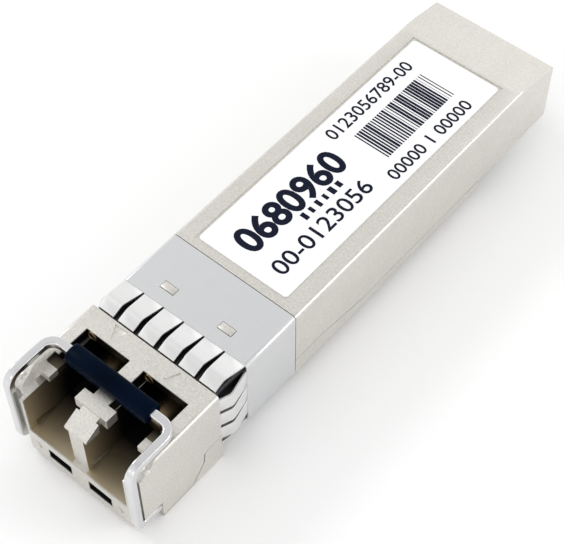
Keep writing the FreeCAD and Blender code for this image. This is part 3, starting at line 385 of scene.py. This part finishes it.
FINISHES = {
    "nickel_casting": nickel_casting(),
    "lever_casting": grained("lever_casting", (0.035, 0.033, 0.03), 0.85, 0.45, 7000, 0.012),
    "collar_steel": collar_steel(),
    "bail_steel": grained("bail_steel", (0.72, 0.72, 0.73), 1.0, 0.2, 5000, 0.003,
                          vary=0.03, rough_vary=0.04),
    "sleeve_plastic": grained("sleeve_plastic", (0.0004, 0.0034, 0.0112), 0.0, 0.34, 5000, 0.006,
                              vary=0.25, specular=0.025),
    "label_paper": grained("label_paper", (0.92, 0.92, 0.93), 0.0, 0.5, 4000, 0.002, vary=0.012),
    "board_laminate": grained("board_laminate", (0.03, 0.2, 0.08), 0.0, 0.35, 3500, 0.01,
                              vary=0.15),
    "gold": grained("gold", (0.86, 0.66, 0.3), 1.0, 0.25, 6000, 0.003),
    "chip_epoxy": grained("chip_epoxy", (0.02, 0.02, 0.022), 0.0, 0.5, 9000, 0.01, vary=0.2),
    "capacitor_ceramic": grained("capacitor_ceramic", (0.45, 0.33, 0.2), 0.0, 0.45, 9000, 0.006),
    "pad_silicone": grained("pad_silicone", (0.35, 0.42, 0.52), 0.0, 0.65, 5000, 0.01),
    "gasket_rubber": grained("gasket_rubber", (0.05, 0.05, 0.055), 0.0, 0.75, 6000, 0.015),
    "clamp_plastic": grained("clamp_plastic", (0.03, 0.03, 0.035), 0.0, 0.5, 6000, 0.01),
    "barrel_steel": grained("barrel_steel", (0.30, 0.22, 0.12), 1.0, 0.34, 6000, 0.004,
                            (1, 0.1, 1)),
    "zirconia": grained("zirconia", (0.9, 0.89, 0.86), 0.0, 0.2, 6000, 0.001, vary=0.02),
    "can_metal": grained("can_metal", (0.85, 0.74, 0.5), 1.0, 0.3, 6000, 0.003),
    "lens_glass": clear_glass(),
    "flex_film": grained("flex_film", (0.5, 0.25, 0.06), 0.0, 0.35, 4000, 0.006, vary=0.12),
    "ink": grained("label_ink", (0.004, 0.007, 0.022), 0.0, 0.5, 9000, 0.001, vary=0.1,
                   specular=0.1),
}
SLOT_OF = {part["node"]: part["material_slot"] for part in frame["record"]["subparts"]}
BODY_OF = {node: body for body, nodes in frame["record"]["behaviour"]["bodies"].items()
           for node in nodes}

for node, shown in frame["nodes"].items():
    shown.data.materials.clear()
    shown.data.materials.append(FINISHES[SLOT_OF[node]])


# ---------------------------------------------------------------- building pieces
def placed(name, data):
    """A new object in the scene that shows the data."""
    made = bpy.data.objects.new(name, data)
    bpy.context.scene.collection.objects.link(made)
    return made


def piece(name, mesh, slot, body, finish=None, smooth=PLAIN_EDGE, flat=False):
    """A named piece at the origin, with its finish, riding on its body."""
    mesh.materials.clear()
    mesh.materials.append(FINISHES[finish or slot])
    for face in mesh.polygons:
        face.use_smooth = True
        face.material_index = 0
    mesh.set_sharp_from_angle(angle=math.radians(smooth))
    if flat:
        mesh = evenly_lit(mesh)
    made = placed(name, mesh)
    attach(made, body)
    return made


def evenly_lit(mesh):
    """The mesh with its normals weighted by face size, so that flat faces look flat."""
    holder = placed("holder", mesh)
    weighting = holder.modifiers.new("weighting", "WEIGHTED_NORMAL")
    weighting.weight = 100
    weighting.keep_sharp = True
    return settled(holder)


def settled(holder):
    """The finished mesh of an object with live modifiers; the object is removed."""
    depsgraph = bpy.context.evaluated_depsgraph_get()
    mesh = bpy.data.meshes.new_from_object(holder.evaluated_get(depsgraph))
    bpy.data.objects.remove(holder)
    return mesh


def eased(mesh, width, angle=CASTING_BEND):
    """The mesh with its sharp edges rounded by width."""
    holder = placed("holder", mesh)
    rounding = holder.modifiers.new("rounding", "BEVEL")
    rounding.width = width
    rounding.segments = 2
    rounding.limit_method = "ANGLE"
    rounding.angle_limit = math.radians(angle)
    rounding.use_clamp_overlap = True
    return settled(holder)


def merged_copy(node):
    """A copy of a node's mesh as one skin, with its flat faces whole."""
    mesh = frame["nodes"][node].data.copy()
    shape = bmesh.new()
    shape.from_mesh(mesh)
    bmesh.ops.remove_doubles(shape, verts=shape.verts, dist=SAME_CORNER)
    bmesh.ops.dissolve_limit(shape, angle_limit=math.radians(SAME_FACE), verts=shape.verts,
                             edges=shape.edges)
    shape.to_mesh(mesh)
    shape.free()
    return mesh


def eased_part(node, width, finish=None):
    """A node's shape with eased edges, standing in for the node."""
    mesh = eased(merged_copy(node), width)
    made = piece(node + "_eased", mesh, SLOT_OF[node], BODY_OF[node], finish, SHEET_BEND, True)
    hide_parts(node)
    return made


def closed_mesh(shape, name):
    """The shape as a mesh whose faces all look outwards."""
    bmesh.ops.recalc_face_normals(shape, faces=shape.faces)
    mesh = bpy.data.meshes.new(name)
    shape.to_mesh(mesh)
    shape.free()
    return mesh


def wall(shape, near, far):
    """Faces that join two rings with the same number of corners."""
    count = len(near)
    for i in range(count):
        shape.faces.new((near[i], near[(i + 1) % count], far[(i + 1) % count], far[i]))


def group(name, inputs, output):
    """A new node group and its input values; each input is a name with a kind."""
    tree = bpy.data.node_groups.new(name, "GeometryNodeTree")
    for label, kind in (*inputs, ("Finish", "Material")):
        tree.interface.new_socket(label, in_out="INPUT", socket_type="NodeSocket" + kind)
    tree.interface.new_socket(output, in_out="OUTPUT", socket_type="NodeSocketGeometry")
    return tree, tree.nodes.new("NodeGroupInput").outputs


def joined(tree, *pairs):
    for start, end in pairs:
        tree.links.new(start, end)


def painted(tree, given, geometry, output):
    """Makes the geometry real, gives it its finish and sends it out of the group."""
    real = tree.nodes.new("GeometryNodeRealizeInstances")
    paint = tree.nodes.new("GeometryNodeSetMaterial")
    result = tree.nodes.new("NodeGroupOutput")
    joined(tree, (geometry, real.inputs["Geometry"]),
           (real.outputs["Geometry"], paint.inputs["Geometry"]),
           (given["Finish"], paint.inputs["Material"]),
           (paint.outputs["Geometry"], result.inputs[output]))


ROW_INPUTS = (("Count", "Int"), ("First", "Vector"), ("Step", "Vector"))


def row_points(tree, given):
    """Instances on evenly spaced points, with nothing on them yet."""
    line = tree.nodes.new("GeometryNodeMeshLine")
    instances = tree.nodes.new("GeometryNodeInstanceOnPoints")
    joined(tree, (given["Count"], line.inputs["Count"]),
           (given["First"], line.inputs["Start Location"]),
           (given["Step"], line.inputs["Offset"]),
           (line.outputs["Mesh"], instances.inputs["Points"]))
    return instances


def grown(holder, tree, finish, **values):
    """The mesh that a node group makes on the holder; the holder is removed."""
    modifier = holder.modifiers.new("growing", "NODES")
    modifier.node_group = tree
    sockets = {item.name: item.identifier for item in tree.interface.items_tree
               if item.in_out == "INPUT"}
    for name, value in (*values.items(), ("Finish", FINISHES[finish])):
        modifier[sockets[name]] = value
    return settled(holder)


def bar_row_tree():
    """A row of flat bars whose sizes vary between two limits."""
    tree, given = group("bar_row", (*ROW_INPUTS, ("Smallest", "Vector"), ("Largest", "Vector"),
                                    ("Seed", "Int")), "Bars")
    instances = row_points(tree, given)
    cube = tree.nodes.new("GeometryNodeMeshCube")
    vary = tree.nodes.new("FunctionNodeRandomValue")
    vary.data_type = "FLOAT_VECTOR"
    joined(tree, (given["Smallest"], vary.inputs["Min"]), (given["Largest"], vary.inputs["Max"]),
           (given["Seed"], vary.inputs["Seed"]),
           (cube.outputs["Mesh"], instances.inputs["Instance"]),
           (vary.outputs["Value"], instances.inputs["Scale"]))
    painted(tree, given, instances.outputs["Instances"], "Bars")
    return tree


BAR_ROW = bar_row_tree()


def bar_row(name, count, first, step, smallest, largest, seed, slot, body, finish):
    mesh = grown(placed(name, bpy.data.meshes.new(name)), BAR_ROW, finish, Count=count,
                 First=first, Step=step, Smallest=smallest, Largest=largest, Seed=seed)
    return piece(name, mesh, slot, body, finish)


# ---------------------------------------------------------------- housings and metalwork
for node in ("upper_housing", "lower_housing"):
    eased_part(node, CASTING_EDGE)
eased_part("latch_lever", CASTING_EDGE, "lever_casting")


# ---------------------------------------------------------------- collar and its fingers
def finger_outline():
    """(y, height) along a finger's outer face, from its root over the bent crest to its tip."""
    root, crest, tip = (FINGER_ROOT, 0.0), (CREST_Y, FINGER_RISE), (FINGER_TIP, FINGER_TIP_RISE)
    before = tuple(c + (r - c) * CREST_BEND for c, r in zip(crest, root))
    after = tuple(c + (t - c) * CREST_BEND * TIP_BEND for c, t in zip(crest, tip))
    line = [root, tuple((r + b) / 2 for r, b in zip(root, before))]
    for i in range(CREST_STEPS + 1):
        t = i / CREST_STEPS
        line.append(tuple((1 - t) ** 2 * b
                          + 2 * t * (1 - t) * (CREST_PULL * c + SIDE_PULL * (a + b)) + t * t * a
                          for b, c, a in zip(before, crest, after)))
    return line + [tip]


def finger_mesh():
    """One spring finger, its root on the collar's face at height 0."""
    shape = bmesh.new()
    rings = []
    for y, height in finger_outline():
        share = min(1.0, (FINGER_ROOT - y) / (FINGER_ROOT - CREST_Y))
        half = (FINGER_PITCH - SLIT_ROOT - share * (SLIT_TIP - SLIT_ROOT)) / 2
        rings.append([shape.verts.new(place) for place in (
            (-half, y, height), (half, y, height),
            (half, y, height - SHEET_THICK), (-half, y, height - SHEET_THICK))])
    for near, far in zip(rings, rings[1:]):
        wall(shape, near, far)
    shape.faces.new(rings[0])
    shape.faces.new(rings[-1])
    return eased(closed_mesh(shape, "spring_finger"), FINGER_EDGE, SHEET_BEND)


def finger_row_tree():
    """Copies of the finger along a line, all turned the same way."""
    tree, given = group("finger_row", (("Finger", "Geometry"), *ROW_INPUTS,
                                       ("Turn", "Rotation")), "Fingers")
    instances = row_points(tree, given)
    joined(tree, (given["Finger"], instances.inputs["Instance"]),
           (given["Turn"], instances.inputs["Rotation"]))
    painted(tree, given, instances.outputs["Instances"], "Fingers")
    return tree


FINGER_ROW = finger_row_tree()


def finger_row(name, count, first, step, turn):
    mesh = grown(placed(name, finger_mesh()), FINGER_ROW, "collar_steel", Count=count,
                 First=first, Step=step, Turn=(0, math.radians(turn), 0))
    return piece(name, mesh, "collar_steel", "housing", smooth=FINGER_BEND)


def collar_band():
    """The collar behind its fingers, closed along its front edge."""
    mesh = merged_copy("emi_collar")
    shape = bmesh.new()
    shape.from_mesh(mesh)
    bmesh.ops.bisect_plane(shape, geom=shape.verts[:] + shape.edges[:] + shape.faces[:],
                           plane_co=(0, FINGER_ROOT + BAND_SETBACK, 0), plane_no=(0, 1, 0),
                           clear_inner=True)
    rim = [edge for edge in shape.edges if edge.is_boundary]
    bmesh.ops.triangle_fill(shape, edges=rim, use_beauty=True, use_dissolve=False)
    bmesh.ops.recalc_face_normals(shape, faces=shape.faces)
    shape.to_mesh(mesh)
    shape.free()
    return eased(mesh, SHEET_EDGE, SHEET_BEND)


band = piece("collar_band", collar_band(), "collar_steel", "housing",
             smooth=SHEET_BEND, flat=True)
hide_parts("emi_collar")
finger_row("fingers_top", TOP_FINGERS, (-(TOP_FINGERS - 1) / 2 * FINGER_PITCH, 0, BODY_TOP),
           (FINGER_PITCH, 0, 0), 0)
for side, turn in ((1, 90), (-1, -90)):
    word = "right" if side > 0 else "left"
    finger_row("fingers_" + word, SIDE_FINGERS, (side * BODY_HALF, 0, SIDE_FINGER_FIRST),
               (0, 0, SIDE_FINGER_PITCH), turn)
    finger_row("fingers_under_" + word, UNDER_FINGERS,
               (side * UNDER_FINGER_FIRST, 0, BODY_BOTTOM), (side * FINGER_PITCH, 0, 0), 180)


# ---------------------------------------------------------------- latch spring
def coil_tree():
    """A round wire wound into a coil that stands on its first point."""
    tree, given = group("coil", (("Turns", "Float"), ("Radius", "Float"), ("Height", "Float"),
                                 ("Wire", "Float"), ("Foot", "Vector")), "Coil")
    spiral = tree.nodes.new("GeometryNodeCurveSpiral")
    spiral.inputs["Resolution"].default_value = COIL_STEPS
    ring = tree.nodes.new("GeometryNodeCurvePrimitiveCircle")
    ring.inputs["Resolution"].default_value = WIRE_STEPS
    sweep = tree.nodes.new("GeometryNodeCurveToMesh")
    sweep.inputs["Fill Caps"].default_value = True
    move = tree.nodes.new("GeometryNodeTransform")
    joined(tree, (given["Turns"], spiral.inputs["Rotations"]),
           (given["Radius"], spiral.inputs["Start Radius"]),
           (given["Radius"], spiral.inputs["End Radius"]),
           (given["Height"], spiral.inputs["Height"]),
           (given["Wire"], ring.inputs["Radius"]),
           (spiral.outputs["Curve"], sweep.inputs["Curve"]),
           (ring.outputs["Curve"], sweep.inputs["Profile Curve"]),
           (sweep.outputs["Mesh"], move.inputs["Geometry"]),
           (given["Foot"], move.inputs["Translation"]))
    painted(tree, given, move.outputs["Geometry"], "Coil")
    return tree


def spring_coil():
    low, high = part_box("latch_spring")
    wire = SPRING_WIRE / 2
    mesh = grown(placed("coil", bpy.data.meshes.new("coil")), coil_tree(), "collar_steel",
                 Turns=SPRING_TURNS, Radius=(high.x - low.x) / 2 - wire,
                 Height=high.z - low.z - 2 * wire, Wire=wire,
                 Foot=((low.x + high.x) / 2, (low.y + high.y) / 2, low.z + wire))
    made = piece("spring_coil", mesh, "collar_steel", "housing", smooth=COIL_BEND)
    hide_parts("latch_spring")
    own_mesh(made)


spring_coil()


# ---------------------------------------------------------------- rings in the windows
def ring_mesh(centre):
    """A small raised ring that faces the front."""
    shape = bmesh.new()
    rows = []
    for i in range(RING_STEPS):
        turn = 2 * math.pi * i / RING_STEPS
        row = []
        for j in range(TUBE_STEPS):
            roll = 2 * math.pi * j / TUBE_STEPS
            out = RING_RADIUS + RING_TUBE * math.cos(roll)
            row.append(shape.verts.new((centre[0] + out * math.cos(turn),
                                        centre[1] + RING_TUBE * math.sin(roll),
                                        centre[2] + out * math.sin(turn))))
        rows.append(row)
    for near, far in zip(rows, rows[1:] + rows[:1]):
        wall(shape, near, far)
    return closed_mesh(shape, "window_ring")


for side, ring_x in RING_X.items():
    piece("window_ring_" + side, ring_mesh((ring_x, RING_Y, RING_Z)), "barrel_steel", "housing",
          smooth=RING_BEND)


# ---------------------------------------------------------------- bail sleeve
def sleeve_mesh():
    """A moulded grip: a soft-edged bar with a ridge along its top and drawn-in ends."""
    middle = (SLEEVE_LOW + SLEEVE_HIGH) / 2
    half = (SLEEVE_HIGH - SLEEVE_LOW) / 2
    shape = bmesh.new()
    rings = []
    for along, scale in SLEEVE_STATIONS:
        rings.append([shape.verts.new((middle.x + half.x * along,
                                       middle.y + half.y * y * scale,
                                       middle.z + half.z * z * scale))
                      for y, z in SLEEVE_OUTLINE])
    for near, far in zip(rings, rings[1:]):
        wall(shape, near, far)
    shape.faces.new(reversed(rings[0]))
    shape.faces.new(rings[-1])
    return eased(closed_mesh(shape, "bail_grip"), SLEEVE_EDGE, SLEEVE_BEND)


grip = piece("bail_grip", sleeve_mesh(), "sleeve_plastic", "bail", smooth=SHEET_BEND)
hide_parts("bail_sleeve")


# ---------------------------------------------------------------- label and its print
def label_mesh():
    """The label's sheet with rounded corners."""
    low, high = LABEL_LOW, LABEL_HIGH
    shape = bmesh.new()
    corners = [(high.x, high.y, 0), (low.x, high.y, 90), (low.x, low.y, 180),
               (high.x, low.y, 270)]
    loop = []
    for x, y, start in corners:
        cx = x - math.copysign(LABEL_CORNER, x)
        cy = y - math.copysign(LABEL_CORNER, y - (low.y + high.y) / 2)
        for i in range(LABEL_CORNER_STEPS + 1):
            turn = math.radians(start + i * 90 / LABEL_CORNER_STEPS)
            loop.append(shape.verts.new((cx + LABEL_CORNER * math.cos(turn),
                                         cy + LABEL_CORNER * math.sin(turn), low.z)))
    sheet = shape.faces.new(loop)
    raised = bmesh.ops.extrude_face_region(shape, geom=[sheet])
    for item in raised["geom"]:
        if isinstance(item, bmesh.types.BMVert):
            item.co.z = high.z
    return closed_mesh(shape, "label_sheet")


sheet = piece("label_sheet", label_mesh(), "label_paper", "housing")
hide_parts("label")


def number_line(name, digits, start, size, stroke=0.0, stretch=1.0):
    """Plain digits that read from the front of the label to its back.

    They are drawn in millimetres and scaled down, so that their small counters stay open.
    """
    text = bpy.data.curves.new(name, "FONT")
    text.body = digits
    text.size = size / MM
    text.extrude = INK_THICK / 2 / MM
    text.offset = stroke / MM
    text.resolution_u = TEXT_STEPS
    mesh = settled(placed(name, text))
    turn = Matrix.Rotation(math.radians(90), 4, "Z") @ Matrix.Diagonal((stretch * MM, MM, MM, 1))
    mesh.transform(Matrix.Translation((start[0], start[1], INK_MIDDLE)) @ turn)
    return piece(name, mesh, "label_paper", "housing", "ink")


def word_bars(name, start, step, count, tall, wide, seed):
    """Blocks that stand for a printed word, without any letters."""
    return bar_row(name, count, (start[0], start[1], INK_MIDDLE), (0, step, 0),
                   (tall * BLOCK_SHORTEST, wide * BLOCK_NARROWEST, INK_THICK),
                   (tall, wide, INK_THICK), seed,
                   "label_paper", "housing", "ink")


number_line("print_heading", "0680960", start=(-0.1 * MM, -6.2 * MM), size=3.8 * MM,
            stroke=0.12 * MM, stretch=0.97)
word_bars("print_subheading", start=(0.62 * MM, -0.3 * MM), step=0.92 * MM, count=6,
          tall=0.9 * MM, wide=0.62 * MM, seed=BLOCK_SEED)
number_line("print_number", "00-0123056", start=(3.25 * MM, -6.35 * MM), size=2.3 * MM,
            stroke=0.02 * MM, stretch=1.12)
number_line("print_upper_line", "0123056789-00", start=(-2.75 * MM, 7.85 * MM), size=1.85 * MM,
            stroke=0.02 * MM)
number_line("print_lower_line", "00000 1 00000", start=(4.2 * MM, 7.75 * MM), size=1.75 * MM,
            stroke=0.02 * MM, stretch=1.08)
bar_row("print_bars", BAR_COUNT, (0.15 * MM, 9.5 * MM, INK_MIDDLE), (0, BAR_STEP, 0),
        (BAR_TALL, BAR_NARROWEST, INK_THICK), (BAR_TALL, BAR_WIDEST, INK_THICK), BAR_SEED,
        "label_paper", "housing", "ink")


# ---------------------------------------------------------------- floor, light, camera
def studio():
    """A pale floor under an even sky, with four soft lamps that face the module."""
    mesh = bpy.data.meshes.new("floor")
    reach = FLOOR_REACH
    mesh.from_pydata([(-reach, -reach, 0), (reach, -reach, 0), (reach, reach, 0),
                      (-reach, reach, 0)], [], [(0, 1, 2, 3)])
    floor = placed("floor", mesh)
    mesh.transform(Matrix.Translation((0, 0, FLOOR_DROP)))
    paper, _, _ = shader("floor_paper", (0.97, 0.97, 0.97), 0.0, 0.9)
    mesh.materials.append(paper)

    world = bpy.data.worlds.new("soft_room")
    bpy.context.scene.world = world
    world.use_nodes = True
    tree = world.node_tree
    background = tree.nodes["Background"]
    background.inputs["Strength"].default_value = 1.0
    sky = ramp(tree, split_place(tree, "Generated")[2], SKY)
    tree.links.new(sky, background.inputs["Color"])
    for name, place, size, power in LAMPS:
        light = bpy.data.lights.new(name, "AREA")
        light.size = size
        light.energy = power
        lamp = placed(name, light)
        lamp.location = place
        lamp.rotation_euler = (-Vector(place)).to_track_quat("-Z", "Y").to_euler()


def camera():
    lens = bpy.data.cameras.new("camera")
    lens.lens = CAMERA_LENS
    lens.sensor_width = CAMERA_SENSOR
    lens.clip_start = CAMERA_CLIP
    holder = placed("camera", lens)
    turn = Matrix((CAMERA_RIGHT, -CAMERA_DOWN, -CAMERA_FORWARD)).transposed().to_4x4()
    holder.matrix_world = Matrix.Translation(CAMERA_PLACE * MM) @ turn
    bpy.context.scene.camera = holder


studio()
camera()
bpy.context.scene.view_settings.view_transform = "Standard"
bpy.context.view_layer.update()
